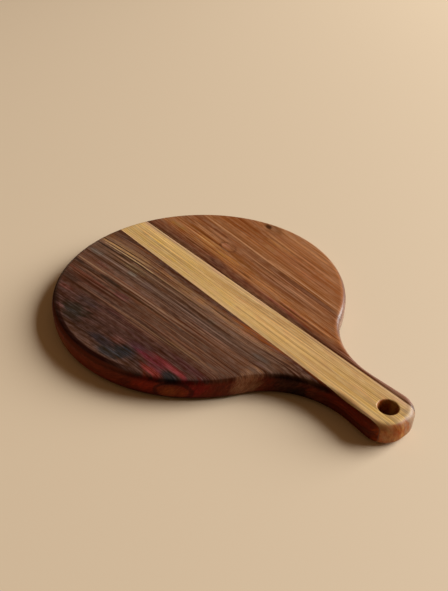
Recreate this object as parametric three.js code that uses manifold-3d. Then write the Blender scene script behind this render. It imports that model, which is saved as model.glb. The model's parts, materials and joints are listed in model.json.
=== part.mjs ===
// Round pizza board with a short handle: a pale centre stave edge-glued between a dark stave and a brown
// one, sawn to one outline, rounded along every edge and bored for hanging.
// Millimetres, +Z up, +X along the handle. The origin is the disc's centre, on the underside.
import * as THREE from 'three';
import { mergeVertices } from 'three/addons/utils/BufferGeometryUtils.js';
import Module from 'manifold-3d';

// Disc
const discDiameter = 300;
const boardThickness = 22;
const edgeRadius = 6; // quarter-round along the top and bottom edges

// Staves and the glue films between them
const centreStaveWidth = 35;
const centreStaveOffset = 9; // its middle, from the disc's centre towards the brown stave
const glueThickness = 0.2;

// Handle
const darkCheek = 1.4; // dark stave beside the centre stave at the handle's waist, its thinnest place
const brownCheek = 7; // brown stave beside the centre stave at the waist
const neckRadius = 78; // sweep from the disc into each side of the handle
const gripLength = 45; // from the waist on the dark side to the tip
const gripFlare = 3.2; // degrees that each side opens from the waist to the tip
const tipCornerRadius = 20;

// Hanging hole, on the handle's middle line
const holeDiameter = 16.4;
const holeRimRadius = 3; // eased edge of the hole, on both faces
const tipWeb = 11; // wood between the hole and the tip

const filletShare = 0.98; // most of its wall that a fillet may take

// Facets
const chordError = 0.04; // furthest that a facet of the outline lies inside its arc
const edgeSteps = 6; // facets across each rounded edge
const holeSides = 48;
const rimSteps = 4; // facets across the hole's eased edge
const cutMargin = 5; // how far the cutting shapes run past the board

const discRadius = discDiameter / 2;
const darkJoint = centreStaveOffset - centreStaveWidth / 2;
const brownJoint = centreStaveOffset + centreStaveWidth / 2;
const darkWaist = darkJoint - glueThickness - darkCheek;
const brownWaist = brownJoint + glueThickness + brownCheek;
const handleMiddle = (darkWaist + brownWaist) / 2;
const handleHalfWidth = (brownWaist - darkWaist) / 2; // at the waist
const flare = THREE.MathUtils.degToRad(gripFlare);

const wasm = await Module();
wasm.setup();

function toSolid(geometry) {
  const bare = geometry.clone();
  bare.deleteAttribute('normal');
  bare.deleteAttribute('uv');
  const merged = mergeVertices(bare);
  return new wasm.Manifold(new wasm.Mesh({
    numProp: 3,
    vertProperties: new Float32Array(merged.attributes.position.array),
    triVerts: new Uint32Array(merged.index.array),
  }));
}

function toGeometry(solid) {
  const mesh = solid.getMesh();
  const geometry = new THREE.BufferGeometry();
  geometry.setAttribute('position', new THREE.BufferAttribute(mesh.vertProperties, mesh.numProp));
  geometry.setIndex(new THREE.BufferAttribute(mesh.triVerts, 1));
  geometry.computeVertexNormals();
  return geometry;
}

// Points along an arc, as many as the chord error asks for. A negative turn runs clockwise.
function arcPoints(centre, radius, from, turn) {
  const step = 2 * Math.acos(1 - chordError / radius);
  const count = Math.max(2, Math.ceil(Math.abs(turn) / step));
  return Array.from({ length: count + 1 }, (_, i) => {
    const angle = from + (turn * i) / count;
    return new THREE.Vector2(centre.x + radius * Math.cos(angle), centre.y + radius * Math.sin(angle));
  });
}

// Centre of the neck's sweep on one side (1 brown, -1 dark): it touches the disc and dips to the waist.
function neckCentre(side) {
  const y = handleMiddle + side * (handleHalfWidth + neckRadius);
  return new THREE.Vector2(Math.sqrt((discRadius + neckRadius) ** 2 - y ** 2), y);
}

const tipX = neckCentre(-1).x + gripLength;

// One side of the handle, from the disc's rim to the middle of the tip: sweep, flared side, tip corner.
function handleSide(side) {
  const neck = neckCentre(side);
  const rimAngle = Math.atan2(neck.y, neck.x) + Math.PI;
  const waistAngle = -side * (Math.PI / 2 - flare);
  const turn = THREE.MathUtils.euclideanModulo(side * (waistAngle - rimAngle), 2 * Math.PI);
  const sweep = arcPoints(neck, neckRadius, rimAngle, side * turn);

  const sideStart = sweep[sweep.length - 1];
  const reach = tipX - sideStart.x;
  const tipHalfWidth = side * (sideStart.y - handleMiddle) + reach * Math.tan(flare);
  const acrossLimit = tipHalfWidth / (Math.tan(flare) + 1 / Math.cos(flare));
  const alongLimit = reach / (1 + Math.sin(flare));
  const corner = Math.min(tipCornerRadius, filletShare * acrossLimit, filletShare * alongLimit);
  const cornerCentre = new THREE.Vector2(
    tipX - corner,
    handleMiddle + side * (tipHalfWidth - corner * Math.tan(flare) - corner / Math.cos(flare)),
  );
  const bend = arcPoints(cornerCentre, corner, side * (Math.PI / 2 + flare), -side * (Math.PI / 2 + flare));
  return [...sweep, ...bend];
}

function boardOutline() {
  const brownSide = handleSide(1);
  const darkSide = handleSide(-1);
  const brownRim = brownSide[0].angle();
  const darkRim = darkSide[0].angle();
  const disc = arcPoints(new THREE.Vector2(), discRadius, brownRim, darkRim - brownRim);
  return new THREE.Shape([...disc, ...darkSide.slice(1), ...brownSide.slice(1).reverse()]);
}

// The glued-up board in one piece, sawn to the outline and rounded along both edges.
function boardBlank() {
  const round = Math.min(edgeRadius, filletShare * boardThickness / 2);
  const geometry = new THREE.ExtrudeGeometry(boardOutline(), {
    depth: boardThickness - 2 * round,
    bevelEnabled: true,
    bevelThickness: round,
    bevelSize: round,
    bevelOffset: -round,
    bevelSegments: edgeSteps,
  });
  geometry.translate(0, 0, round);
  return toSolid(geometry);
}

// Cutter for the hanging hole: a plain bore that flares in a quarter-round at each face.
function holeCutter() {
  const bore = holeDiameter / 2;
  const flareOut = Array.from({ length: rimSteps + 1 }, (_, i) => {
    const angle = (i / rimSteps) * (Math.PI / 2);
    const radius = bore + holeRimRadius * (1 - Math.cos(angle));
    return new THREE.Vector2(radius, boardThickness - holeRimRadius * (1 - Math.sin(angle)));
  });
  const upper = [...flareOut, new THREE.Vector2(bore + holeRimRadius, boardThickness + cutMargin)];
  const lower = upper.map((p) => new THREE.Vector2(p.x, boardThickness - p.y)).reverse();
  const profile = [
    new THREE.Vector2(0, -cutMargin),
    ...lower,
    ...upper,
    new THREE.Vector2(0, boardThickness + cutMargin),
  ];
  const geometry = new THREE.LatheGeometry(profile, holeSides);
  geometry.rotateX(Math.PI / 2);
  geometry.translate(tipX - tipWeb - bore, handleMiddle, 0);
  return toSolid(geometry);
}

const board = boardBlank().subtract(holeCutter());

// The part of the board between two planes across its width.
function slice(fromY, toY) {
  const length = discRadius + tipX + 2 * cutMargin;
  const slab = new THREE.BoxGeometry(length, toY - fromY, boardThickness + 2 * cutMargin);
  slab.translate((tipX - discRadius) / 2, (fromY + toY) / 2, boardThickness / 2);
  return toGeometry(board.intersect(toSolid(slab)));
}

const darkRosewood = new THREE.MeshStandardMaterial({ color: 0x57382a, roughness: 0.38, metalness: 0 });
const paleWood = new THREE.MeshStandardMaterial({ color: 0xc09a5e, roughness: 0.42, metalness: 0 });
const brownRosewood = new THREE.MeshStandardMaterial({ color: 0x8b5632, roughness: 0.38, metalness: 0 });
const darkGlue = new THREE.MeshStandardMaterial({ color: 0x3a2417, roughness: 0.5, metalness: 0 });
const brownGlue = new THREE.MeshStandardMaterial({ color: 0x4a2e1c, roughness: 0.5, metalness: 0 });

function addPiece(group, name, fromY, toY, material) {
  const mesh = new THREE.Mesh(slice(fromY, toY), material);
  mesh.name = name;
  group.add(mesh);
}

const outside = discRadius + cutMargin;
const pizzaBoard = new THREE.Group();
addPiece(pizzaBoard, 'dark_stave', -outside, darkJoint - glueThickness, darkRosewood);
addPiece(pizzaBoard, 'dark_side_glue_line', darkJoint - glueThickness, darkJoint, darkGlue);
addPiece(pizzaBoard, 'centre_stave', darkJoint, brownJoint, paleWood);
addPiece(pizzaBoard, 'brown_side_glue_line', brownJoint, brownJoint + glueThickness, brownGlue);
addPiece(pizzaBoard, 'brown_stave', brownJoint + glueThickness, outside, brownRosewood);

export default pizzaBoard;
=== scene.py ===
# Pizza board: three oiled hardwood staves glued edge to edge, sawn round with a short handle, bored to hang.
# Metres in the board's own frame: +X along the handle, +Y towards the brown stave, +Z up from the underside.
import json
import math

import bmesh
import bpy
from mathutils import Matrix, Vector


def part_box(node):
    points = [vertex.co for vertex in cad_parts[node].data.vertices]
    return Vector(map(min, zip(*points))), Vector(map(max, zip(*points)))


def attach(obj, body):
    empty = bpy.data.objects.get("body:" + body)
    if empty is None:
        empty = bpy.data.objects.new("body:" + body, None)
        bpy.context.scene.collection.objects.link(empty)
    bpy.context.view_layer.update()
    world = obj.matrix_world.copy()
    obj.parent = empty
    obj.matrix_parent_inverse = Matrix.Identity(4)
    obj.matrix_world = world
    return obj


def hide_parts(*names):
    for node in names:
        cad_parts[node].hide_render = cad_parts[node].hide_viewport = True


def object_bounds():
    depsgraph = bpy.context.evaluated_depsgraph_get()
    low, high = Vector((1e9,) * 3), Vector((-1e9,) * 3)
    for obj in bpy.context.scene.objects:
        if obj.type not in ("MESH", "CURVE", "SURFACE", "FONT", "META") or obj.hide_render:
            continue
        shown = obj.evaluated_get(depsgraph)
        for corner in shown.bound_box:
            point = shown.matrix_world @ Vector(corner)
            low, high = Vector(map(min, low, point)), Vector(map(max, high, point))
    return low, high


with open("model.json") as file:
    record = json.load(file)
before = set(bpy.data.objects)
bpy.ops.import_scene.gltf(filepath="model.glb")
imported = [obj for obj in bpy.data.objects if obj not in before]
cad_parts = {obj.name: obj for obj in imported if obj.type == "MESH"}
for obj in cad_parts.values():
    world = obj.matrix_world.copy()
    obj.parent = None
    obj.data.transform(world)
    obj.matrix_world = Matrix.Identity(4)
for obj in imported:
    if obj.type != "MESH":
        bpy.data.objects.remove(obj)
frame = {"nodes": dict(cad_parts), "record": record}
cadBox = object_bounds()
print("frame:", len(frame["nodes"]), "solids loaded")

mm = 0.001
scene = bpy.context.scene
scene.view_settings.view_transform = "Standard"  # a hex colour comes out as it was written

cameraView = {
    "place": (419.0, -299.3, 371.6),  # mm
    "tilt": 35.58,  # degrees below the horizon
    "turn": 51.66,  # degrees from +Y round towards -X
    "lens": 36.55,  # mm
    "film": 36.0,  # mm along the long side of a 448 x 591 picture
}

cameraData = bpy.data.cameras.new("boardCamera")
cameraData.lens = cameraView["lens"]
cameraData.sensor_width = cameraView["film"]
camera = bpy.data.objects.new("boardCamera", cameraData)
camera.location = Vector(cameraView["place"]) * mm
camera.rotation_euler = (math.radians(90 - cameraView["tilt"]), 0, math.radians(cameraView["turn"]))
scene.collection.objects.link(camera)
scene.camera = camera
print("camera placed")


# One function turns every hex colour in this file to linear
def linear(hexColour):
    parts = [int(hexColour[i:i + 2], 16) / 255 for i in (1, 3, 5)]
    return tuple(c / 12.92 if c <= 0.04045 else ((c + 0.055) / 1.055) ** 2.4 for c in parts) + (1.0,)


# Adds a node, sets its properties, then links or fills each input. A node given as an input stands for its
# first output in use.
def addNode(tree, kind, inputs=None, stops=None, **settings):
    made = tree.nodes.new("ShaderNode" + kind)
    for name, value in settings.items():
        setattr(made, name, value)
    for name, value in (inputs or {}).items():
        if isinstance(value, bpy.types.Node):
            value = next(o for o in value.outputs if o.enabled)
        if isinstance(value, bpy.types.NodeSocket):
            tree.links.new(value, made.inputs[name])
        else:
            made.inputs[name].default_value = value
    if stops:
        ramp = made.color_ramp
        while len(ramp.elements) < len(stops):
            ramp.elements.new(1.0)
        for element, (place, colour) in zip(ramp.elements, stops):
            element.position = place
            element.color = colour
    return made


boardForm = {
    "edgeRadius": 6.0,  # mm, quarter-round along both faces
    "neckRadius": 78.0,  # sweep from the disc into the handle
    "darkCheek": 1.4,  # dark wood left beside the centre stave at the waist
    "brownCheek": 7.0,
    "flare": 3.2,  # degrees that each side of the grip opens towards the tip
    "tipCorner": 20.0,
    "boreRadius": 8.2,
    "boreRim": 1.5,  # eased edge of the hanging hole
    "flatStrip": 0.5,  # flat ring beside each rounded edge, which keeps the faces' shading flat
    "discSteps": 320,
    "neckSteps": 44,
    "cornerSteps": 26,
    "edgeSteps": 9,
    "boreSteps": 96,
    "boreRimSteps": 8,
}

form = {name: value * mm for name, value in boardForm.items() if not name.endswith("Steps")}
flare = math.radians(boardForm["flare"])
discRadius = -cadBox[0].x
tipX = cadBox[1].x
thickness = cadBox[1].z
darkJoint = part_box("centre_stave")[0].y
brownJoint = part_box("centre_stave")[1].y
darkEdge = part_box("dark_stave")[1].y
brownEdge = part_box("brown_stave")[0].y
waist = {-1: darkEdge - form["darkCheek"], 1: brownEdge + form["brownCheek"]}
handleMiddle = (waist[1] + waist[-1]) / 2
holeBox = frame["record"]["physics"]["openings"][0]["box_m"]
holeX = (holeBox[0][0] + holeBox[1][0]) / 2
holeY = (holeBox[0][1] + holeBox[1][1]) / 2


def arc(centre, radius, start, turn, steps):
    angles = [start + turn * i / steps for i in range(steps + 1)]
    return [(centre[0] + radius * math.cos(a), centre[1] + radius * math.sin(a)) for a in angles]


# One side of the handle: the sweep off the disc, the flared side, the tip's corner
def handleSide(side, inset):
    neckY = waist[side] + side * form["neckRadius"]
    neckX = math.sqrt((discRadius + form["neckRadius"]) ** 2 - neckY ** 2)
    rimAngle = math.atan2(neckY, neckX) + math.pi
    turn = (-(math.pi / 2 - flare) - side * rimAngle) % (2 * math.pi)
    sweep = arc((neckX, neckY), form["neckRadius"] + inset, rimAngle, side * turn, boardForm["neckSteps"])
    endX = neckX + form["neckRadius"] * math.sin(flare)
    endHalf = side * (neckY - handleMiddle) - form["neckRadius"] * math.cos(flare)
    corner = form["tipCorner"]
    tipHalf = endHalf + (tipX - endX) * math.tan(flare)
    cornerY = handleMiddle + side * (tipHalf - corner * math.tan(flare) - corner / math.cos(flare))
    quarter = math.pi / 2 + flare
    middle = (tipX - corner, cornerY)
    bend = arc(middle, corner - inset, side * quarter, -side * quarter, boardForm["cornerSteps"])
    return sweep + bend


# The board's outline, drawn in by the inset, always with the same number of points
def boardRing(inset):
    brownSide = handleSide(1, inset)
    darkSide = handleSide(-1, inset)
    start = math.atan2(brownSide[0][1], brownSide[0][0])
    turn = (math.atan2(darkSide[0][1], darkSide[0][0]) - start) % (2 * math.pi)
    disc = arc((0, 0), discRadius - inset, start, turn, boardForm["discSteps"])
    return disc + darkSide[1:] + brownSide[:0:-1]


# Half section of a rounded edge from the wall's middle to the flat face: (inset, height above mid-board)
def edgeSection(radius, steps):
    half = thickness / 2
    bends = [i / steps * math.pi / 2 for i in range(steps + 1)]
    rounded = [(radius - radius * math.cos(a), half - radius + radius * math.sin(a)) for a in bends]
    return [(0, 0)] + rounded + [(radius + form["flatStrip"], half)]


# Wall built up ring by ring from the underside to the top, with the section mirrored about mid-board
def skin(bm, section, ringAt):
    upper = section[1:]
    whole = [(inset, -z) for inset, z in reversed(upper)] + [section[0]] + upper
    rings = []
    for inset, z in whole:
        rings.append([bm.verts.new((x, y, thickness / 2 + z)) for x, y in ringAt(inset)])
    for low, high in zip(rings, rings[1:]):
        for i in range(len(low)):
            j = (i + 1) % len(low)
            bm.faces.new((low[i], low[j], high[j], high[i]))
    return rings[0], rings[-1]


def boreRing(inset):
    return arc((holeX, holeY), form["boreRadius"] + inset, 0, 2 * math.pi, boardForm["boreSteps"])[:-1]


# The whole board in one piece, rounded over and bored, with both faces filled between rim and bore
def glueUp():
    bm = bmesh.new()
    outer = skin(bm, edgeSection(form["edgeRadius"], boardForm["edgeSteps"]), boardRing)
    inner = skin(bm, edgeSection(form["boreRim"], boardForm["boreRimSteps"]), boreRing)
    for rim, bore in zip(outer, inner):
        edges = [bm.edges.get((ring[i - 1], ring[i])) for ring in (rim, bore) for i in range(len(ring))]
        bmesh.ops.triangle_fill(bm, edges=edges, use_beauty=True)
    bmesh.ops.recalc_face_normals(bm, faces=bm.faces[:])
    return bm


blank = glueUp()
print("blank sawn:", len(blank.faces), "faces")

sawTolerance = 1e-7  # metres


# The strip of the blank between two planes across its width, closed along the cuts
def rip(name, fromY, toY):
    bm = blank.copy()
    for y, facing in ((fromY, -1), (toY, 1)):
        everything = bm.verts[:] + bm.edges[:] + bm.faces[:]
        bmesh.ops.bisect_plane(bm, geom=everything, dist=sawTolerance, plane_co=(0, y, 0),
                               plane_no=(0, facing, 0), clear_outer=True)
        cut = [e for e in bm.edges if e.is_boundary]
        bmesh.ops.holes_fill(bm, edges=cut, sides=0)
        for e in cut:
            e.smooth = False
    bmesh.ops.recalc_face_normals(bm, faces=bm.faces[:])
    for face in bm.faces:
        face.smooth = True
    mesh = bpy.data.meshes.new(name)
    bm.to_mesh(mesh)
    bm.free()
    piece = bpy.data.objects.new(name, mesh)
    scene.collection.objects.link(piece)
    return piece


# Turns (place, value) pairs into ramp stops from first to last. A value is a hex colour or an amount.
def rampStops(first, last, pairs):
    stops = []
    for place, value in pairs:
        colour = linear(value) if isinstance(value, str) else (value, value, value, 1.0)
        stops.append(((place - first) / (last - first), colour))
    return stops


# What the three woods share
woodHabits = {
    "straightPast": 150.0,  # mm along the board, from there the layers run straight on to the tip
    "bendOver": 100.0,  # mm of board that fan, bow and curl are given for
    "knotReach": 2.0,  # times the knot's own size, how far the layers part round it
    "wanderNoise": (0.25, 0.75),  # ends of a noise that are taken as its least and most
    "grainNoise": (0.3, 0.7),
    "brokenNoise": (0.4, 0.6),
    "soakingNoise": (0.35, 0.65),
    "walls": (0.15, 0.75),  # upward part of the way the surface points: all wall, no wall
    "rounded": (0.82, 0.99),  # all rounded edge, flat face
    "soaked": (0.78, 0.995),  # open end grain, flat face
    "endGrain": (0.1, 0.55),  # lengthwise part of that: side grain, end grain
    "calmEdge": 0.7,  # share of the grain's contrast that a rounded edge loses
    "plainEdge": 0.25,  # share of the latewood lines that a rounded edge keeps
    "brokenLine": 0.25,  # share of a line that is left where it breaks up
    "lineCore": 0.4,  # share of a line's width that has its full colour
    "bandCore": 0.3,  # the same for the band beside a joint
    "leastSoaked": 0.45,  # share of the oil that the driest end grain takes
    "darkest": 0.1,  # share of the colour that the grain leaves at least
    "edgeShadeBend": [(0.0, 0.0), (0.25, 0.3), (0.55, 1.0), (0.85, 0.8), (0.99, 0.0)],  # upward part, share of painted shade on the rounded edge
    "boreFade": (-0.1, 0.6),  # mm past the bore's radius
    "bump": (0.25, 0.15),  # strength, height in mm of the open grain
    "ior": 1.47,  # drying oil
}

boardSpan = (-discRadius / mm, tipX / mm)

# How spots of another colour fade out
spotEdges = {
    "streakUpTo": 1.5,  # mm of half width, a wider spot is an area
    "streak": (2.5, 0.2, 1.4),  # fray, then where the fade starts and ends in shares of the spot's size
    "area": (1.4, 0.4, 1.2),
    "outline": 0.16,  # half width of a drawn outline, in the same shares
    "rightThrough": (0, 60),  # mm, middle and half depth of a spot that has none of its own
}


# Areas or streaks of another colour, which begin and end along the board and fray at their edges. Each row is
# x, layer, half length, half width, colour, amount, and for a shallow one its middle and half depth in z.
def daub(tree, spot, colour, spots, outlined=False):
    for x, layer, length, width, tint, amount, *depth in spots:
        middle, deep = depth or spotEdges["rightThrough"]
        thin = width <= spotEdges["streakUpTo"]
        fray, inner, outer = spotEdges["streak" if thin else "area"]
        away = addNode(tree, "VectorMath", {0: spot["grain"], 1: (x, layer, middle)}, operation="SUBTRACT")
        scaled = addNode(tree, "VectorMath", {0: away, 1: (length, width, deep)}, operation="DIVIDE")
        if thin:  # a streak keeps its width almost to its ends
            scaled = addNode(tree, "VectorMath", {0: scaled, 1: scaled}, operation="MULTIPLY")
        reach = addNode(tree, "VectorMath", {0: scaled}, operation="LENGTH")
        if outlined:
            reach = addNode(tree, "Math", {0: reach, 1: 1.0}, operation="SUBTRACT")
            reach = addNode(tree, "Math", {0: reach}, operation="ABSOLUTE")
            reach = addNode(tree, "Math", {0: reach, 1: spotEdges["outline"]}, operation="DIVIDE")
        ragged = addNode(tree, "Math", {0: spot["mottle"], 1: fray, 2: reach}, operation="MULTIPLY_ADD")
        fade = addNode(tree, "MapRange", {"Value": ragged, "From Min": inner + fray / 2,
                                          "From Max": outer + fray / 2, "To Min": amount, "To Max": 0.0},
                       interpolation_type="SMOOTHSTEP")
        colour = addNode(tree, "Mix", {0: fade, 6: colour, 7: linear(tint)}, data_type="RGBA")
    return colour


def layerSpan(wood):
    return wood["bands"][0][0], wood["bands"][-1][0]


# Numbers every spot by its growth layer, the distance in mm from the stave's glued edge at the disc's middle,
# top face. Layers fan out along the board, curl towards its ends and lean through its thickness.
def growthLayers(tree, wood):
    coords = addNode(tree, "TexCoord")
    inMm = addNode(tree, "VectorMath", {0: coords.outputs["Object"], "Scale": 1 / mm}, operation="SCALE")
    split = addNode(tree, "SeparateXYZ", {0: inMm})
    along = split.outputs["X"]
    through = addNode(tree, "Math", {0: split.outputs["Z"], 1: thickness / mm}, operation="SUBTRACT")
    fromEdge = -wood["side"] * wood["edge"] / mm
    across = addNode(tree, "Math", {0: split.outputs["Y"], 1: wood["side"], 2: fromEdge},
                     operation="MULTIPLY_ADD")
    leaning = addNode(tree, "Math", {0: through, 1: wood["lean"], 2: across}, operation="MULTIPLY_ADD")
    far = addNode(tree, "Math", {0: along, 1: woodHabits["straightPast"]}, operation="MINIMUM")
    far = addNode(tree, "Math", {0: far, 1: woodHabits["bendOver"]}, operation="DIVIDE")
    square = addNode(tree, "Math", {0: far, 1: far}, operation="MULTIPLY")
    fanEdge, fanGain = wood["fan"]
    fanned = addNode(tree, "Math", {0: leaning, 1: fanGain, 2: fanEdge}, operation="MULTIPLY_ADD")
    curlEdge, curlGain = wood["curl"]
    curled = addNode(tree, "Math", {0: leaning, 1: curlGain, 2: curlEdge}, operation="MULTIPLY_ADD")
    curled = addNode(tree, "Math", {0: curled, 1: far, 2: wood["bow"]}, operation="MULTIPLY_ADD")
    layer = addNode(tree, "Math", {0: far, 1: fanned, 2: leaning}, operation="MULTIPLY_ADD")
    layer = addNode(tree, "Math", {0: square, 1: curled, 2: layer}, operation="MULTIPLY_ADD")

    # layers are never quite straight: a slow wander along the board
    place = addNode(tree, "CombineXYZ", {"X": along, "Y": layer, "Z": through})
    drift = addNode(tree, "VectorMath", {0: place, 1: wood["wanderOver"]}, operation="DIVIDE")
    wander = addNode(tree, "TexNoise", {"Vector": drift, "Scale": 1.0, "Detail": 2.0})
    least, most = woodHabits["wanderNoise"]
    shift = addNode(tree, "MapRange", {"Value": wander, "From Min": least, "From Max": most,
                                       "To Min": -wood["wander"], "To Max": wood["wander"]}, clamp=False)
    layer = addNode(tree, "Math", {0: layer, 1: shift}, operation="ADD")

    # layers part round a knot, so that one of them fills its eye
    for knotX, knotLayer, length, width, swell in wood.get("knots", []):
        place = addNode(tree, "CombineXYZ", {"X": along, "Y": layer, "Z": 0.0})
        away = addNode(tree, "VectorMath", {0: place, 1: (knotX, knotLayer, 0)}, operation="SUBTRACT")
        scaled = addNode(tree, "VectorMath", {0: away, 1: (length, width, 1)}, operation="DIVIDE")
        reach = addNode(tree, "VectorMath", {0: scaled}, operation="LENGTH")
        fade = addNode(tree, "MapRange", {"Value": reach, "From Max": woodHabits["knotReach"],
                                          "To Min": swell, "To Max": 0.0}, interpolation_type="SMOOTHERSTEP")
        offset = addNode(tree, "SeparateXYZ", {0: away})
        pull = addNode(tree, "Math", {0: offset.outputs["Y"], 1: fade}, operation="MULTIPLY")
        layer = addNode(tree, "Math", {0: layer, 1: pull}, operation="SUBTRACT")

    first, last = layerSpan(wood)
    grain = addNode(tree, "CombineXYZ", {"X": along, "Y": layer, "Z": through})
    layerShare = addNode(tree, "MapRange", {"Value": layer, "From Min": first, "From Max": last})
    farEnd, tip = boardSpan
    boardShare = addNode(tree, "MapRange", {"Value": along, "From Min": farEnd, "From Max": tip})
    return {"inMm": inMm, "across": across, "grain": grain, "layerShare": layerShare,
            "boardShare": boardShare}


# Tells walls, rounded edges and end grain from the flat faces by the way the surface points
def facesAndWalls(tree):
    surface = addNode(tree, "NewGeometry")
    facing = addNode(tree, "SeparateXYZ", {0: surface.outputs["Normal"]})
    found = {"upright": addNode(tree, "Math", {0: facing.outputs["Z"]}, operation="ABSOLUTE"),
             "lengthwise": addNode(tree, "Math", {0: facing.outputs["X"]}, operation="ABSOLUTE")}
    for name, blend in (("walls", "SMOOTHSTEP"), ("rounded", "LINEAR"), ("soaked", "SMOOTHSTEP")):
        full, none = woodHabits[name]
        found[name] = addNode(tree, "MapRange", {"Value": found["upright"], "From Min": full,
                                                 "From Max": none, "To Min": 1.0, "To Max": 0.0},
                              interpolation_type=blend)
    return found


# Colour of each layer, deeper on the sawn walls, then warm and cool tinges and the areas of the figure, with
# some painted shade and painted reflection among them
def layerColours(tree, wood, spot):
    stops = rampStops(*layerSpan(wood), wood["bands"])
    colour = addNode(tree, "ValToRGB", {"Fac": spot["layerShare"]}, stops)
    wallTint, amount = wood["wall"]
    deeper = addNode(tree, "Math", {0: spot["walls"], 1: amount}, operation="MULTIPLY")
    colour = addNode(tree, "Mix", {0: deeper, 6: colour, 7: linear(wallTint)}, data_type="RGBA")
    for start, full, tint in wood["tinges"]:
        tinge = addNode(tree, "MapRange", {"Value": spot["tinge"], "From Min": start, "From Max": full})
        colour = addNode(tree, "Mix", {0: tinge, 6: colour, 7: linear(tint)}, data_type="RGBA",
                         blend_type="MULTIPLY")
    colour = daub(tree, spot, colour, wood["areas"])
    return daub(tree, spot, colour, wood.get("outlines", []), outlined=True)


# Figure, clouds and mottle make whole streaks lighter or darker, fibres and hairs draw the fine grain
def grainShade(tree, wood, spot, colour):
    least, most = woodHabits["grainNoise"]
    shade = None
    for name, zone in wood["contrast"].items():
        strength = addNode(tree, "ValToRGB", {"Fac": spot["layerShare"]}, rampStops(*layerSpan(wood), zone))
        part = addNode(tree, "MapRange", {"Value": spot[name], "From Min": least, "From Max": most,
                                          "To Min": -1.0, "To Max": 1.0})
        part = addNode(tree, "Math", {0: part, 1: strength, 2: 1.0}, operation="MULTIPLY_ADD")
        shade = addNode(tree, "Math", {0: shade, 1: part}, operation="MULTIPLY") if shade else part
    calm = addNode(tree, "Math", {0: spot["rounded"], 1: woodHabits["calmEdge"]}, operation="MULTIPLY")
    shade = addNode(tree, "Mix", {0: calm, 2: shade, 3: 1.0}, data_type="FLOAT")
    shade = addNode(tree, "Math", {0: shade, 1: 1.0}, operation="SUBTRACT")
    shade = addNode(tree, "VectorMath", {0: shade, 1: wood["tone"], 2: (1, 1, 1)}, operation="MULTIPLY_ADD")
    shade = addNode(tree, "VectorMath", {0: shade, 1: [woodHabits["darkest"]] * 3}, operation="MAXIMUM")
    return addNode(tree, "VectorMath", {0: colour, 1: shade}, operation="MULTIPLY")


# Wood beside a joint has drunk glue and oil
def jointBand(tree, wood, spot, colour):
    width, tint = wood["edgeBand"]
    core = width * woodHabits["bandCore"]
    beside = addNode(tree, "MapRange", {"Value": spot["across"], "From Min": core, "From Max": width,
                                        "To Min": 1.0, "To Max": 0.0}, interpolation_type="SMOOTHSTEP")
    return addNode(tree, "Mix", {0: beside, 6: colour, 7: linear(tint)}, data_type="RGBA",
                   blend_type="MULTIPLY")


# Thin lines of latewood, pale and dark, each strongest in its own layers and broken up by the mottle
def latewood(tree, wood, spot, colour):
    least, most = woodHabits["brokenNoise"]
    for line in wood["lines"]:
        stretched = addNode(tree, "VectorMath", {0: spot["grain"], 1: line["size"]}, operation="DIVIDE")
        ripple = addNode(tree, "TexNoise", {"Vector": stretched, "Scale": 1.0, "Detail": 1.5})
        ripple = addNode(tree, "Math", {0: ripple, 1: 0.5}, operation="SUBTRACT")
        ripple = addNode(tree, "Math", {0: ripple}, operation="ABSOLUTE")
        core = line["width"] * woodHabits["lineCore"]
        drawn = addNode(tree, "MapRange", {"Value": ripple, "From Min": core, "From Max": line["width"],
                                           "To Min": 1.0, "To Max": 0.0})
        stops = rampStops(*layerSpan(wood), line["zone"])
        zone = addNode(tree, "ValToRGB", {"Fac": spot["layerShare"]}, stops)
        broken = addNode(tree, "MapRange", {"Value": spot["mottle"], "From Min": least, "From Max": most,
                                            "To Min": woodHabits["brokenLine"], "To Max": 1.0})
        plain = addNode(tree, "MapRange", {"Value": spot["rounded"], "To Min": 1.0,
                                           "To Max": woodHabits["plainEdge"]})
        for share in (zone, broken, plain):
            drawn = addNode(tree, "Math", {0: drawn, 1: share}, operation="MULTIPLY")
        colour = addNode(tree, "Mix", {0: drawn, 6: colour, 7: linear(line["tint"])}, data_type="RGBA")
    return colour


# Pores that oil and dust have filled
def filledPores(tree, wood, spot, colour):
    start, full, tint, amount = wood["pores"]
    pores = addNode(tree, "MapRange", {"Value": spot["pores"], "From Min": start, "From Max": full,
                                       "To Min": 0.0, "To Max": amount})
    return addNode(tree, "Mix", {0: pores, 6: colour, 7: linear(tint)}, data_type="RGBA")


# Painted shade on the rounded edges, which run darker where they turn away from the light, each stretch along
# the board by its own amount
def shadeRoundedEdges(tree, wood, spot, colour):
    bend = addNode(tree, "ValToRGB", {"Fac": spot["upright"]}, rampStops(0, 1, woodHabits["edgeShadeBend"]))
    stretch = addNode(tree, "ValToRGB", {"Fac": spot["boardShare"]}, rampStops(*boardSpan, wood["edgeShadeAlong"]))
    edgeShadeShare = addNode(tree, "Math", {0: bend, 1: stretch}, operation="MULTIPLY")
    return addNode(tree, "Mix", {0: edgeShadeShare, 6: colour, 7: (0, 0, 0, 1)}, data_type="RGBA")
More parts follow.
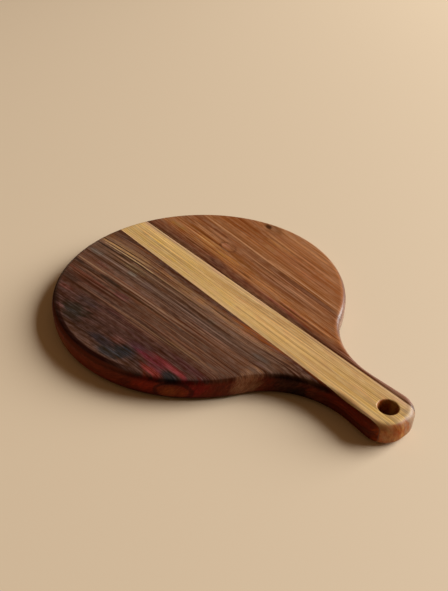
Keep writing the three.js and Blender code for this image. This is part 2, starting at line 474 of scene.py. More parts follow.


# Painted shade along part of the disc's rim, where the rounded edge turns from the light, as a mask that also
# takes the shine away, and the colours of it from the face outwards
def paintedRimShade(tree, rim, spot):
    inPlan = addNode(tree, "VectorMath", {0: spot["inMm"], 1: (1, 1, 0)}, operation="MULTIPLY")
    fromMiddle = addNode(tree, "VectorMath", {0: inPlan}, operation="LENGTH")
    outwards = addNode(tree, "MapRange", {"Value": fromMiddle, "From Min": discRadius / mm - rim["width"],
                                          "From Max": discRadius / mm})
    ring = addNode(tree, "ValToRGB", {"Fac": outwards}, rampStops(0, 1, rim["tints"]))
    start, full = rim["fade"]
    rimShade = addNode(tree, "MapRange", {"Value": outwards, "From Min": start, "From Max": full},
                   interpolation_type="SMOOTHSTEP")
    stretch = addNode(tree, "ValToRGB", {"Fac": spot["boardShare"]}, rampStops(*boardSpan, rim["along"]))
    rimShade = addNode(tree, "Math", {0: rimShade, 1: stretch}, operation="MULTIPLY")
    offWalls = addNode(tree, "Math", {0: 1.0, 1: spot["walls"]}, operation="SUBTRACT")
    return addNode(tree, "Math", {0: rimShade, 1: offWalls}, operation="MULTIPLY"), ring


# End grain drinks more oil and goes darker, on the walls that cut across the fibres
def endGrain(tree, wood, spot, colour):
    side, end = woodHabits["endGrain"]
    ends = addNode(tree, "MapRange", {"Value": spot["lengthwise"], "From Min": side, "From Max": end,
                                      "To Min": 0.0, "To Max": 1.0}, interpolation_type="SMOOTHSTEP")
    least, most = woodHabits["soakingNoise"]
    soaking = addNode(tree, "MapRange", {"Value": spot["figure"], "From Min": least, "From Max": most,
                                         "To Min": woodHabits["leastSoaked"], "To Max": 1.0})
    for share in (spot["soaked"], soaking):
        ends = addNode(tree, "Math", {0: ends, 1: share}, operation="MULTIPLY")
    darker = addNode(tree, "Mix", {0: 1.0, 6: colour, 7: linear(wood["endTint"])}, data_type="RGBA",
                     blend_type="MULTIPLY")
    return addNode(tree, "Mix", {0: ends, 6: colour, 7: darker}, data_type="RGBA")


# Painted shade in the bore, darker as a recess
def paintedBoreShade(tree, tint, spot, colour):
    middle = (holeX / mm, holeY / mm, 0)
    away = addNode(tree, "VectorMath", {0: spot["inMm"], 1: middle}, operation="SUBTRACT")
    inPlan = addNode(tree, "VectorMath", {0: away, 1: (1, 1, 0)}, operation="MULTIPLY")
    fromBore = addNode(tree, "VectorMath", {0: inPlan}, operation="LENGTH")
    full, none = woodHabits["boreFade"]
    inBore = addNode(tree, "MapRange", {"Value": fromBore, "From Min": boardForm["boreRadius"] + full,
                                        "From Max": boardForm["boreRadius"] + none, "To Min": 1.0,
                                        "To Max": 0.0}, interpolation_type="SMOOTHSTEP")
    return addNode(tree, "Mix", {0: inBore, 6: colour, 7: linear(tint)}, data_type="RGBA",
                   blend_type="MULTIPLY")


# Solid wood, planed and oiled. Every pattern is stretched along the growth layers.
def oiledWood(wood):
    material = bpy.data.materials.new(wood["name"])
    material.use_nodes = True
    tree = material.node_tree
    tree.nodes.clear()
    spot = {**growthLayers(tree, wood), **facesAndWalls(tree)}  # what the nodes know of each spot
    for name, (size, detail, roughness) in wood["patterns"].items():
        stretched = addNode(tree, "VectorMath", {0: spot["grain"], 1: size}, operation="DIVIDE")
        spot[name] = addNode(tree, "TexNoise", {"Vector": stretched, "Scale": 1.0, "Detail": detail,
                                                "Roughness": roughness})

    colour = layerColours(tree, wood, spot)
    colour = grainShade(tree, wood, spot, colour)
    colour = jointBand(tree, wood, spot, colour)
    colour = latewood(tree, wood, spot, colour)
    colour = daub(tree, spot, colour, wood["streaks"])
    colour = filledPores(tree, wood, spot, colour)
    # painted shade on the rounded edges
    colour = shadeRoundedEdges(tree, wood, spot, colour)
    # painted shade along part of the disc's rim
    rimShade = None
    if "rim" in wood:
        rimShade, ring = paintedRimShade(tree, wood["rim"], spot)
        colour = addNode(tree, "Mix", {0: rimShade, 6: colour, 7: ring}, data_type="RGBA")
    colour = endGrain(tree, wood, spot, colour)
    # painted shade inside the bore
    if "boreShadeTint" in wood:
        colour = paintedBoreShade(tree, wood["boreShadeTint"], spot, colour)
    # painted reflection on the tip's right corner, and a tan patch beside the joint
    colour = daub(tree, spot, colour, wood.get("tipSheenAndPatch", []))

    # satin where the faces were oiled, and the walls' own change from that
    smoothest, roughest, onWalls = wood["roughness"]
    least, most = woodHabits["grainNoise"]
    satin = addNode(tree, "MapRange", {"Value": spot["fibres"], "From Min": least, "From Max": most,
                                       "To Min": smoothest, "To Max": roughest})
    satin = addNode(tree, "Math", {0: spot["walls"], 1: onWalls, 2: satin}, operation="MULTIPLY_ADD")
    openGrain = addNode(tree, "Math", {0: spot["fibres"], 1: spot["pores"]}, operation="SUBTRACT")
    strength, height = woodHabits["bump"]
    bump = addNode(tree, "Bump", {"Height": openGrain, "Strength": strength, "Distance": height * mm})
    faceShine, edgeShine, wallShine, faceTint = wood["shine"]
    shine = addNode(tree, "Mix", {0: spot["rounded"], 2: faceShine, 3: edgeShine}, data_type="FLOAT")
    shine = addNode(tree, "Mix", {0: spot["walls"], 2: shine, 3: wallShine}, data_type="FLOAT")
    # the painted rim shade has no shine
    if rimShade:
        shine = addNode(tree, "Mix", {0: rimShade, 2: shine, 3: 0.0}, data_type="FLOAT")
    shineTint = addNode(tree, "Mix", {0: spot["rounded"], 6: linear(faceTint), 7: (1, 1, 1, 1)},
                        data_type="RGBA")
    shader = addNode(tree, "BsdfPrincipled", {"Base Color": colour, "Roughness": satin,
                                              "IOR": woodHabits["ior"], "Specular IOR Level": shine,
                                              "Specular Tint": shineTint, "Normal": bump})
    addNode(tree, "OutputMaterial", {"Surface": shader})
    return material


# Brown rosewood, planed and oiled: warm orange-brown ground, darker straight lines, a soft satin shine
brownStave = {
    "name": "brownRosewoodOiled",
    "side": 1,  # layers count up towards +Y, or with -1 towards -Y
    "edge": brownEdge,  # where layer 0 lies
    "lean": 0.55,  # layers crossed per mm of depth
    "fan": (2.0, 0.1),  # mm that a layer shifts over 100 mm of board: at the glued edge, gain per mm from it
    "bow": 0.8,  # mm, grows with the square of the distance, and the curl with its cube
    "curl": (0.0, 0.0),
    "wander": 0.5,  # mm
    "wanderOver": (90.0, 30.0, 30.0),
    "knots": [(-41, 101, 9, 5, 0.5)],  # x, layer, length, width, swell
    "patterns": {  # size in mm along the board, across the layers and through, then detail and roughness
        "figure": ((220.0, 6.0, 12.0), 4.0, 0.6),
        "clouds": ((70.0, 16.0, 20.0), 2.0, 0.5),
        "mottle": ((13.0, 3.5, 6.0), 3.0, 0.6),
        "tinge": ((24.0, 5.0, 9.0), 2.0, 0.5),
        "hairs": ((120.0, 0.9, 3.0), 0.5, 0.5),
        "fibres": ((100.0, 1.6, 4.0), 1.5, 0.5),  # fibres are finer, drawn 1.6 and 0.9 mm wide to show
        "pores": ((8.0, 0.9, 0.9), 1.0, 0.5),  # pores are 0.2 mm wide, drawn wider to show
    },
    "bands": [  # layer, colour
        # dark beside the joint, honey from 18 to 26, a browner stripe at 50, then orange-brown to the rim
        (-10, "#4c2c1c"), (4, "#603622"), (11, "#703e26"), (18, "#925a2e"), (26, "#986036"), (31, "#88522c"),
        (50, "#7e4a2a"), (56, "#8e5a34"), (80, "#8c522c"), (125, "#9a643c"),
    ],
    "areas": [  # dark and red patches beside the joint, honey ones next to them, browns further out
        (-18, 7.5, 22, 6, "#461c16", 0.95),
        (-85, 5, 40, 3, "#5c382a", 0.6),
        (24, 7, 28, 5, "#54281a", 0.85),
        (112, 7, 50, 2.8, "#46241a", 0.9),
        (90, 11, 40, 2, "#74392e", 0.8),
        (100, 17.5, 30, 1.6, "#7c3426", 0.6),
        (-110, 21, 18, 4, "#8f6226", 0.7),
        (-58, 26, 22, 4, "#a87440", 0.8),
        (-28, 23, 12, 2.2, "#b07c3c", 0.8),
        (-8, 24.5, 15, 3.5, "#b0743a", 0.8),
        (85, 51, 60, 4, "#653c28", 0.9),
        (20, 50, 45, 3.5, "#70442a", 0.6),
        (45, 33, 40, 4, "#7e4e34", 0.6),
        (-5, 74, 14, 4, "#93602f", 0.5),
        (-45, 29.5, 22, 2.2, "#a06c38", 0.6),
        (-70, 65, 42, 4.5, "#7a4826", 0.6),
        (-35, 104, 22, 9, "#764a2a", 0.7),
        (5, 86, 20, 4, "#a06a3a", 0.5),
        (-55, 78, 45, 14, "#804822", 0.75),
        (62, 73, 12, 5, "#8c5030", 0.5),
        (75, 38, 45, 7, "#764a32", 0.5),
        (-39, 37.5, 9, 3.6, "#a86c50", 0.8),
        (215, 9, 55, 18, "#8a6660", 0.85, 0, 7),  # painted reflection, greying the cheek of the handle
        (126, 66, 30, 60, "#b4948c", 0.8, -9, 7.5),  # painted reflection, the rounded edge near the neck paler and lavender
    ],
    "outlines": [(-35, 37, 12, 6.5, "#5a2a10", 0.75)],  # swirl of the figure
    "streaks": [
        # dark lines
        (-60, 12.5, 24, 1.1, "#4a2608", 0.7),
        (-85, 2.6, 35, 1.0, "#3e2414", 0.6),
        (10, 12.5, 30, 0.9, "#60300e", 0.6),
        (20, 18.7, 14, 1.4, "#5a2c0c", 0.7),
        (60, 9.5, 40, 0.9, "#4a2416", 0.6),
        (95, 15.6, 20, 1.2, "#4c240e", 0.7),
        (130, 16.5, 18, 0.9, "#502814", 0.6),
        (-45, 20.5, 40, 0.8, "#6e4216", 0.6),
        (-75, 31, 35, 0.9, "#6a4018", 0.6),
        (5, 31, 34, 1.8, "#6a3c10", 0.7),
        (70, 30.5, 30, 1.2, "#6a3e22", 0.5),
        (30, 27.5, 60, 0.7, "#70441c", 0.5),
        (10, 36.5, 40, 0.7, "#6c4220", 0.5),
        (30, 42.5, 30, 1.3, "#5e381e", 0.6),
        (90, 37, 40, 0.8, "#683e22", 0.5),
        (-63, 47.8, 19, 1.4, "#5a2c14", 0.7),
        (-70, 41, 45, 0.8, "#643a1c", 0.6),
        (80, 53.5, 60, 0.9, "#552f1e", 0.6),
        (20, 53.6, 70, 0.8, "#643a20", 0.6),
        (-30, 60, 70, 0.7, "#6c4020", 0.45),
        (-30, 81, 32, 1.2, "#6c3e18", 0.6),
        (50, 81.5, 15, 1.2, "#6c3e18", 0.6),
        (10, 88.8, 60, 0.9, "#6e4020", 0.6),
        (50, 95, 28, 1.1, "#6c3e1e", 0.6),
        (45, 106.5, 25, 0.9, "#764626", 0.5),
        # pale lines
        (130, 19.2, 22, 1.0, "#c88c60", 0.45),
        (20, 15.8, 40, 0.8, "#b87a4a", 0.4),
        (-50, 17.2, 40, 0.8, "#b07c44", 0.4),
        (-60, 35.5, 40, 0.7, "#b88a62", 0.35),
        (-75, 38, 30, 0.9, "#c09068", 0.45),
        (-65, 44, 28, 0.9, "#bc8862", 0.45),
        (10, 45, 32, 0.9, "#b48662", 0.45),
        (50, 47.5, 18, 0.8, "#a07860", 0.4),
        (95, 41, 28, 0.9, "#bc8862", 0.45),
        (60, 38.5, 40, 0.6, "#a87c5c", 0.35),
        (-35, 56.2, 85, 0.9, "#c89a74", 0.45),
        (75, 58.3, 60, 0.9, "#c89c78", 0.45),
        (10, 63.5, 60, 0.6, "#b08460", 0.35),
        (-10, 85.5, 15, 1.2, "#bc884e", 0.4),
        (0, 91.4, 30, 0.9, "#c8945e", 0.45),
        (60, 92.3, 40, 0.9, "#c08c66", 0.45),
        (30, 99, 45, 0.6, "#b88860", 0.35),
        (20, 109, 45, 1.0, "#c8966a", 0.45),
        # dark knot near the rim
        (-30, 95, 14, 2, "#734a30", 0.6),
        (-32, 106, 14, 2, "#6e4428", 0.6),
        (-41, 101, 6, 2.2, "#3c1e0c", 0.95),
    ],
    "contrast": {  # layer, strength
        "clouds": [(-10, 0.06), (125, 0.06)],
        "figure": [(-10, 0.28), (40, 0.24), (62, 0.12), (125, 0.12)],
        "mottle": [(-10, 0.08), (125, 0.08)],
        "fibres": [(-10, 0.6), (40, 0.55), (60, 0.38), (125, 0.38)],
        "hairs": [(-10, 0.85), (40, 0.75), (60, 0.45), (125, 0.45)],
        "pores": [(-10, 0.16), (125, 0.14)],
    },
    "lines": [  # size in mm, width as a share of the noise, tint, then layer and strength
        {"size": (140.0, 3.4, 9.0), "width": 0.12, "tint": "#5c3218",
         "zone": [(-10, 0.5), (20, 0.45), (52, 0.4), (62, 0.2), (125, 0.25)]},
        {"size": (150.0, 4.0, 11.0), "width": 0.11, "tint": "#a88468",
         "zone": [(-10, 0.1), (14, 0.25), (30, 0.35), (60, 0.25), (90, 0.35), (125, 0.4)]},
    ],
    "tinges": [(0.52, 0.72, "#fff4dc"), (0.48, 0.28, "#f4f0fa")],  # start, full, tint
    "pores": (0.58, 0.72, "#3a1f10", 0.35),  # start, full, tint, amount
    "wall": ("#6a3a20", 0.5),  # colour of the sawn walls, amount
    "edgeBand": (4.5, "#b8a880"),  # mm beside the joint, and the tint that it takes on
    "edgeShadeAlong": [(-150, 0.3), (85, 0.3), (112, 0.2), (165, 0.2), (190, 0.1), (255, 0.0)],  # x, share of painted edge shade
    "tone": (0.62, 1.0, 1.65),  # how far the grain moves red, green and blue
    "endTint": "#b08a70",  # over the end grain
    "roughness": (0.3, 0.42, -0.15),  # least, most, added on the walls
    "shine": (0.32, 0.7, 0.7, "#d8a070"),  # on faces, rounded edges, walls, and the faces' warm tint
}

# Dark rosewood, planed and oiled: purple-brown with tan and near-black lines, and a soft warm shine
darkStave = {
    "name": "darkRosewoodOiled",
    "side": -1,
    "edge": darkEdge,
    "lean": 0.5,
    "fan": (1.5, 0.15),
    "bow": 0.0,
    "curl": (2.3, -0.042),
    "wander": 0.5,
    "wanderOver": (80.0, 28.0, 30.0),
    "patterns": {
        "figure": ((200.0, 5.0, 12.0), 4.0, 0.6),
        "clouds": ((55.0, 14.0, 20.0), 2.0, 0.5),
        "mottle": ((12.0, 3.5, 6.0), 3.0, 0.6),
        "tinge": ((20.0, 4.5, 9.0), 2.0, 0.5),
        "hairs": ((120.0, 0.9, 3.0), 0.5, 0.5),
        "fibres": ((100.0, 1.6, 4.0), 1.5, 0.5),
        "pores": ((7.0, 0.9, 0.9), 1.0, 0.5),
    },
    "bands": [
        # brown beside the joint, tan at 12, umber, a paler stripe at 52, plum-black, paler again at the rim
        (-10, "#58361e"), (2, "#5c381e"), (12, "#785034"), (22, "#624230"), (34, "#543a2c"),
        (44, "#58382a"), (52, "#64402e"), (57, "#4e3022"), (80, "#503022"), (90, "#462a24"),
        (122, "#3c2822"), (140, "#5c4034"),
    ],
    "areas": [
        # long shades, then grey, tan and brown patches nearer the joint
        (-75, 73, 60, 11, "#49291f", 0.8),
        (60, 68, 75, 9, "#613d2a", 0.7),
        (105, 45, 45, 6, "#6b4733", 0.8),
        (-118, -2, 26, 7, "#46302b", 0.7),
        (-95, 3, 36, 5, "#7a5640", 0.6),
        (-45, 1.5, 16, 3.5, "#482c10", 0.8),
        (-120, 36, 13, 3.5, "#5a544c", 0.7),
        (-56, 35, 9, 3.5, "#5c5447", 0.6),
        (130, 30, 12, 4, "#453f3a", 0.7),
        (62, 27, 7, 3, "#4a443c", 0.5),
        (-90, 46, 11, 4.5, "#6e4238", 0.6),
        (-20, 11.5, 10, 2.5, "#935c3c", 0.8),
        (-36, 9, 9, 2, "#8f5c3e", 0.7),
        (24, 12, 8, 2.4, "#8e5a40", 0.7),
        (100, 14, 15, 3.5, "#8e5e44", 0.7),
        (128, 10, 9, 3.5, "#96604a", 0.7),
        (136, 38, 7, 3, "#523538", 0.5),
        (-90, 15, 55, 6, "#98704a", 0.8),
        (-70, 27, 55, 4, "#785840", 0.6),
        (50, 34, 90, 3.5, "#543c31", 0.5),
        (5, 12, 45, 4.5, "#8a6036", 0.5),
        (-5, 3.5, 50, 5, "#4e2a0e", 0.75),
        (105, 6, 42, 6, "#a06a3c", 0.75),
        # browns and plums further out
        (-95, 69, 26, 4.5, "#643a2b", 0.7),
        (-25, 65, 14, 5, "#5c3030", 0.6),
        (50, 55, 32, 2.4, "#4a2818", 0.7),
        (-100, 59, 26, 3.5, "#3a2318", 0.7),
        (10, 59.5, 40, 2.6, "#6c432c", 0.6),
        (100, 59.5, 36, 3, "#6c4632", 0.6),
        (-10, 71, 55, 3.5, "#4e2e1e", 0.5),
        (-95, 79, 26, 4.5, "#331f19", 0.6),
        (-45, 79, 26, 3.5, "#3c2620", 0.6),
        (-8, 84, 18, 5, "#482626", 0.6),
        (-26, 37, 12, 4, "#55403f", 0.6),
        (-62, 28, 20, 5, "#6c5a40", 0.5),
        (100, 90, 26, 5, "#4a2628", 0.7),
        (-62, 70, 15, 3.5, "#5e3228", 0.6),
        (-78, 92, 12, 3.5, "#64342e", 0.55),
        (-52, 114, 10, 4.5, "#5c3832", 0.7),
        (31, 111, 11, 5, "#5e362e", 0.65),
        (54, 104, 18, 7, "#40242a", 0.85),
        # crimson that runs over the edge
        (118, 96, 26, 16, "#8e1f18", 0.9, -10, 9),
        (84, 120, 17, 14, "#a4341a", 0.75, -8.5, 8),
        (88, 101.5, 30, 4.6, "#68222a", 0.95, 0, 8),
        (97, 102, 18, 2.2, "#86393c", 0.8, 0, 6),
        (72, 107.5, 23, 5, "#5c2028", 0.9, 0, 6),
        (84, 113, 13, 4, "#56222a", 0.85, 0, 6),
        (84, 118, 15, 4.6, "#752d29", 0.9, 0, 5),
        # blue-black stains, shallow
        (-37, 108, 21, 9, "#292723", 0.9, 0, 6),
        (-30, 116, 14, 6, "#2e2825", 0.8, 0, 6),
        (-38, 93, 20, 7, "#382b2b", 0.75, 0, 6),
        (47, 118.5, 14, 11, "#212326", 0.95, 0, 6),
        (38, 128, 17, 8, "#282829", 0.9, 0, 6),
        (20, 121, 18, 6, "#2a2428", 0.9, 0, 6),
        (100, 110.5, 12, 6, "#1f2123", 0.95, 0, 6),
        # walls
        (139, 52, 12, 18, "#a0785a", 0.85, -10, 12),  # paler start of the neck
        (-12, 112, 36, 30, "#8e5a32", 0.7, -13, 8),
        (164, 26, 17, 15, "#48291a", 0.9),  # painted shade in the hollow of the neck, near black below
        (172, 17, 17, 14, "#1e0d05", 0.95, -16, 8),
        (105, 106, 12, 30, "#9a5226", 0.8, -12, 9),  # brown eye
        (213, 8, 46, 14, "#54240f", 0.85),  # side of the grip
        (218, 7, 36, 14, "#7c3416", 0.8, -6, 6),
        (252, 9, 11.5, 16, "#d08038", 0.95),  # corner of the tip
        (-118, 70, 34, 70, "#d06030", 0.9, -10, 7),  # redder far end
    ],
    "outlines": [(105, 106, 12, 32, "#34100a", 0.6, -12, 9)],  # round the brown eye
    "streaks": [
        # dark lines
        (-108, 13.6, 44, 1.0, "#2e1c10", 0.8),
        (-30, 12.6, 50, 0.8, "#4a2c14", 0.5),
        (-88, 17.8, 40, 0.8, "#2e1c10", 0.7),
        (-84, 20.4, 40, 0.8, "#2e1c10", 0.75),
        (-110, 23, 36, 1.1, "#241a14", 0.85),
        (-60, 21, 35, 1.1, "#362416", 0.7),
        (5, 20, 50, 1.1, "#34200f", 0.7),
        (62, 11, 15, 1.0, "#40280f", 0.6),
        (105, 11.2, 17, 1.0, "#52281a", 0.6),
        (135, 19.5, 17, 1.2, "#34221c", 0.65),
        (-80, 28, 60, 0.8, "#33241a", 0.5),
        (-20, 26, 60, 0.8, "#30221a", 0.5),
        (60, 28.5, 60, 0.7, "#30221a", 0.4),
        (55, 33, 46, 0.8, "#2e201a", 0.45),
        (0, 40, 70, 0.8, "#35241b", 0.5),
        (-90, 42, 45, 0.8, "#35241b", 0.5),
        (90, 39, 40, 0.8, "#33241b", 0.5),
        (20, 47, 19, 1.2, "#321c10", 0.6),
        (-10, 57.5, 46, 1.3, "#36200f", 0.6),
        (-118, 57.5, 17, 2, "#2c211c", 0.65),
        (-60, 57, 19, 2.2, "#261e18", 0.7),
        (-40, 64.5, 60, 0.8, "#352015", 0.45),
        (70, 61, 60, 0.8, "#3a2418", 0.45),
        (40, 68, 70, 0.8, "#3c2416", 0.45),
        (0, 78.6, 70, 1.0, "#301a10", 0.65),
        (60, 79.5, 45, 0.7, "#34200f", 0.5),
        (-20, 83.4, 60, 0.8, "#301c12", 0.5),
        (-90, 80.5, 15, 3, "#33231c", 0.55),
        (-5, 90, 18, 1.6, "#34221f", 0.5),
        # pale lines
        (-100, 10, 36, 1.2, "#9c7c5c", 0.4),
        (0, 9, 40, 0.7, "#a07850", 0.35),
        (-98, 15.7, 44, 0.8, "#d0a872", 0.5),
        (40, 14.5, 45, 0.7, "#a8845f", 0.35),
        (100, 16, 40, 0.7, "#b08a68", 0.4),
        (-88, 19.1, 44, 0.7, "#ccac80", 0.5),
        (-10, 18.5, 50, 0.8, "#b08c68", 0.4),
        (-30, 24, 50, 0.7, "#94785c", 0.35),
        (70, 24.5, 50, 0.7, "#94785f", 0.35),
        (-85, 36, 46, 0.8, "#94827a", 0.35),
        (-20, 36, 36, 0.8, "#8a7666", 0.35),
        (60, 34.8, 46, 0.7, "#94786a", 0.35),
        (55, 44.6, 23, 0.8, "#a4826a", 0.4),
        (-20, 44, 45, 0.7, "#8c6e58", 0.3),
        (-100, 53, 30, 1.0, "#b08a6c", 0.45),
        (-20, 52.6, 60, 0.9, "#a08068", 0.45),
        (35, 51.6, 30, 0.9, "#a07c62", 0.4),
        (40, 56, 60, 0.7, "#94745c", 0.35),
        (-75, 62.5, 26, 0.9, "#8c6a56", 0.4),
        (60, 64, 50, 0.7, "#8c6a50", 0.3),
        (85, 75.2, 22, 0.6, "#a07c58", 0.4),
        (110, 75.5, 14, 1.2, "#94705a", 0.3),
        (78, 77.6, 28, 0.7, "#a07c58", 0.35),
        (-30, 81.5, 35, 0.7, "#8c6650", 0.35),
        (25, 80.8, 46, 0.7, "#a07c60", 0.35),
        (20, 82.6, 40, 0.6, "#9c7458", 0.35),
        (30, 85.5, 30, 0.8, "#8c6850", 0.35),
        (5, 94, 23, 0.8, "#7c6058", 0.35),
    ],
    "contrast": {
        "clouds": [(-10, 0.08), (140, 0.08)],
        "figure": [(-10, 0.2), (80, 0.18), (90, 0.1), (140, 0.1)],
        "mottle": [(-10, 0.06), (75, 0.1), (90, 0.65), (140, 0.65)],
        "fibres": [(-10, 0.55), (30, 0.55), (50, 0.5), (85, 0.45), (140, 0.45)],
        "hairs": [(-10, 1.0), (30, 0.95), (60, 0.75), (140, 0.6)],
        "pores": [(-10, 0.25), (140, 0.25)],
    },
    "lines": [
        {"size": (130.0, 3.2, 9.0), "width": 0.12, "tint": "#2a180f",
         "zone": [(-10, 0.35), (5, 0.38), (60, 0.38), (90, 0.25), (140, 0.1)]},
        {"size": (140.0, 3.5, 10.0), "width": 0.11, "tint": "#8c7264",
         "zone": [(-10, 0.1), (0, 0.25), (8, 0.38), (30, 0.32), (55, 0.3), (78, 0.25), (90, 0.1),
                  (140, 0.0)]},
    ],
    "tinges": [(0.52, 0.72, "#fff0d8"), (0.48, 0.28, "#e8f2fc")],
    "pores": (0.58, 0.72, "#1c100a", 0.45),
    "wall": ("#7a2e12", 0.85),
    "edgeBand": (7.5, "#d8a860"),
    "rim": {  # painted shade along part of the disc's rim, a dark line without shine, with a red shoulder outside it
        "width": 10.0,  # mm in from the disc's edge
        "fade": (0.16, 0.34),  # shares of that width where the line starts and where it is full
        "tints": [(0.62, "#1c0603"), (0.82, "#643020")],
        "along": [(-90, 0.0), (-60, 0.5), (-25, 0.9), (45, 0.97), (62, 0.7), (78, 0.0)],  # x, share
    },
    # painted shade on the rounded edge, deepest at the neck
    "edgeShadeAlong": [(-150, 0.0), (-45, 0.1), (0, 0.2), (50, 0.3), (85, 0.4), (112, 0.4), (128, 0.0), (148, 0.0),
                 (155, 0.75), (190, 0.7), (208, 0.0)],
    "tone": (0.74, 1.0, 1.35),
    "endTint": "#b08a70",
    "roughness": (0.3, 0.42, 0.3),
    "shine": (0.32, 0.0, 0.1, "#c8885c"),
}

# Pale hardwood, planed and oiled: straw to honey, fine straight lines, much darker on the end grain
centreStave = {
    "name": "paleHardwoodOiled",
    "side": 1,
    "edge": darkJoint,
    "lean": 0.2,
    "fan": (0.0, 0.0),
    "bow": 0.0,
    "curl": (0.0, 0.0),
    "wander": 0.5,
    "wanderOver": (120.0, 20.0, 30.0),
    "patterns": {
        "figure": ((200.0, 4.0, 10.0), 4.0, 0.6),
        "clouds": ((60.0, 9.0, 20.0), 2.0, 0.5),
        "mottle": ((16.0, 4.0, 6.0), 3.0, 0.6),
        "tinge": ((22.0, 6.0, 9.0), 2.0, 0.5),
        "hairs": ((190.0, 0.9, 3.0), 0.5, 0.5),
        "fibres": ((150.0, 1.6, 4.0), 1.5, 0.5),
        "pores": ((9.0, 0.9, 0.9), 1.0, 0.5),
    },
    "bands": [
        (0, "#cca87c"), (4, "#c4a066"), (14, "#c09c60"), (27, "#c6a066"), (35, "#c09e7a"),
    ],
    "areas": [  # the handle and two long shades run browner
        (150, 17, 90, 40, "#b68f5e", 0.5),
        (-60, 26, 60, 6, "#c8a668", 0.6),
        (60, 22, 70, 8, "#b98f5e", 0.5),
        (95, 27, 55, 4, "#b28856", 0.5),
    ],
    "streaks": [
        (20, 25, 45, 1.0, "#a57d48", 0.45),
        (35, 22, 40, 0.9, "#a87f4c", 0.4),
        (130, 30, 80, 0.9, "#a47a48", 0.45),
        (120, 27, 70, 0.8, "#a88050", 0.4),
        (195, 11, 40, 0.8, "#a67c46", 0.45),
        (190, 14.5, 35, 0.8, "#a27a48", 0.4),
        (120, 8.5, 30, 0.9, "#cfa866", 0.4),
    ],
    "contrast": {
        "clouds": [(0, 0.035), (35, 0.035)],
        "figure": [(0, 0.04), (35, 0.04)],
        "mottle": [(0, 0.03), (35, 0.03)],
        "fibres": [(0, 0.12), (35, 0.12)],
        "hairs": [(0, 0.48), (35, 0.48)],
        "pores": [(0, 0.1), (35, 0.1)],
    },
    "lines": [
        {"size": (150.0, 2.4, 9.0), "width": 0.11, "tint": "#8e6a3a", "zone": [(0, 0.28), (35, 0.28)]},
        {"size": (150.0, 2.8, 9.0), "width": 0.1, "tint": "#e0c492", "zone": [(0, 0.3), (35, 0.3)]},
    ],
    "tinges": [(0.52, 0.72, "#fffad4"), (0.48, 0.28, "#fff0ff")],
    "pores": (0.58, 0.72, "#8a6236", 0.3),
    "wall": ("#a8783e", 0.3),
    # painted shade inside the bore
    "boreShadeTint": "#dcd8c8",
    "edgeBand": (0.6, "#e0d8c8"),
    # painted shade on the rounded edge, more at the tip
    "edgeShadeAlong": [(-150, 0.12), (228, 0.12), (246, 0.25), (255, 0.25)],
    "tone": (1.0, 1.0, 0.9),
    "endTint": "#c87828",
    "roughness": (0.34, 0.48, 0.15),
    "shine": (0.4, 0.3, 0.15, "#f0d8b0"),
    "tipSheenAndPatch": [  # at the tip: a painted reflection on its right corner, then a darker tan patch beside the joint
        (256, 33, 12, 15, "#907a66", 0.85, -8, 16),
        (246, 1, 9, 3, "#9a7044", 0.6, 0, 6),
    ],
}

# Wood glue squeezed thin and sanded back: a hairline that took up dark dust and oil
glueFilm = {
    "name": "woodGlueLine",
    "colours": ("#3a2416", "#55371f"),
    "mottle": 3.0,  # mm
    "roughness": 0.5,
    "ior": 1.48,
    "bump": (0.2, 0.05),  # strength, height in mm
}


def gluedJoint(glue):
    material = bpy.data.materials.new(glue["name"])
    material.use_nodes = True
    tree = material.node_tree
    tree.nodes.clear()
    coords = addNode(tree, "TexCoord")
    mottle = addNode(tree, "TexNoise", {"Vector": coords.outputs["Object"], "Detail": 2.0,
                                        "Scale": 1 / (glue["mottle"] * mm)})
    first, second = glue["colours"]
    colour = addNode(tree, "Mix", {0: mottle, 6: linear(first), 7: linear(second)}, data_type="RGBA")
    strength, height = glue["bump"]
    bump = addNode(tree, "Bump", {"Height": mottle, "Strength": strength, "Distance": height * mm})
    shader = addNode(tree, "BsdfPrincipled", {"Base Color": colour, "IOR": glue["ior"],
                                              "Roughness": glue["roughness"], "Normal": bump})
    addNode(tree, "OutputMaterial", {"Surface": shader})
    return material


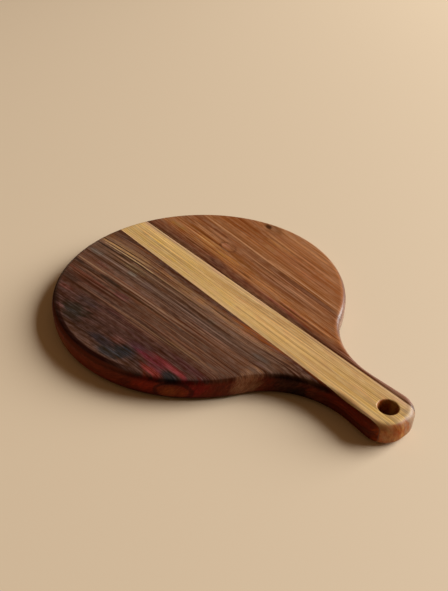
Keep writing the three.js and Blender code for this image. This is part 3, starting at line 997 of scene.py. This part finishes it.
outside = discRadius + 10 * mm  # clear of the disc
glue = gluedJoint(glueFilm)
pieces = [  # name, node, from y, to y, material, slot
    ("darkStaveBoard", "dark_stave", -outside, darkEdge, oiledWood(darkStave), "dark_rosewood"),
    ("centreStaveBoard", "centre_stave", darkJoint, brownJoint, oiledWood(centreStave), "pale_hardwood"),
    ("brownStaveBoard", "brown_stave", brownEdge, outside, oiledWood(brownStave), "brown_rosewood"),
    ("darkGlueLine", "dark_side_glue_line", darkEdge, darkJoint, glue, "glue"),
    ("brownGlueLine", "brown_side_glue_line", brownJoint, brownEdge, glue, "glue"),
]
print("woods and glue mixed")

for name, node, fromY, toY, material, slot in pieces:
    piece = rip(name, fromY, toY)
    piece.data.materials.append(material)
    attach(piece, "root")
    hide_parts(node)
    print("ripped", name, len(piece.data.polygons), "faces")
blank.free()

# Plain pale floor, matt: size in metres, and the drop that keeps it just under the board
floorLook = {"colour": "#d3c0a6", "size": 8.0, "roughness": 0.7, "drop": 0.0002}

floorMesh = bpy.data.meshes.new("studioFloor")
half = floorLook["size"] / 2
corners = [(-half, -half, 0), (half, -half, 0), (half, half, 0), (-half, half, 0)]
floorMesh.from_pydata(corners, [], [(0, 1, 2, 3)])
floor = bpy.data.objects.new("studioFloor", floorMesh)
floor.location.z = -floorLook["drop"]
scene.collection.objects.link(floor)
floorMaterial = bpy.data.materials.new("paleMattFloor")
floorMaterial.use_nodes = True
floorShader = floorMaterial.node_tree.nodes["Principled BSDF"]
floorShader.inputs["Base Color"].default_value = linear(floorLook["colour"])
floorShader.inputs["Roughness"].default_value = floorLook["roughness"]
floorMesh.materials.append(floorMaterial)

# One large soft box: direction from the board, distance and size in metres, power in watts
keyBox = {"towards": (0.31, 0.71, 0.42), "away": 8.0, "size": 5.6, "power": 1310, "colour": "#fffef9"}

keyData = bpy.data.lights.new("keyBox", "AREA")
keyData.shape = "SQUARE"
keyData.size = keyBox["size"]
keyData.energy = keyBox["power"]
keyData.color = linear(keyBox["colour"])[:3]
keyLight = bpy.data.objects.new("keyBox", keyData)
towards = Vector(keyBox["towards"]).normalized()
keyLight.location = towards * keyBox["away"]
keyLight.rotation_euler = towards.to_track_quat("Z", "Y").to_euler()
scene.collection.objects.link(keyLight)

# Warm light from the room all round
roomLight = {"colour": "#ffc78c", "strength": 0.155}

world = bpy.data.worlds.new("softRoom")
world.use_nodes = True
background = world.node_tree.nodes["Background"]
background.inputs["Color"].default_value = linear(roomLight["colour"])
background.inputs["Strength"].default_value = roomLight["strength"]
scene.world = world
print("floor and lights set")
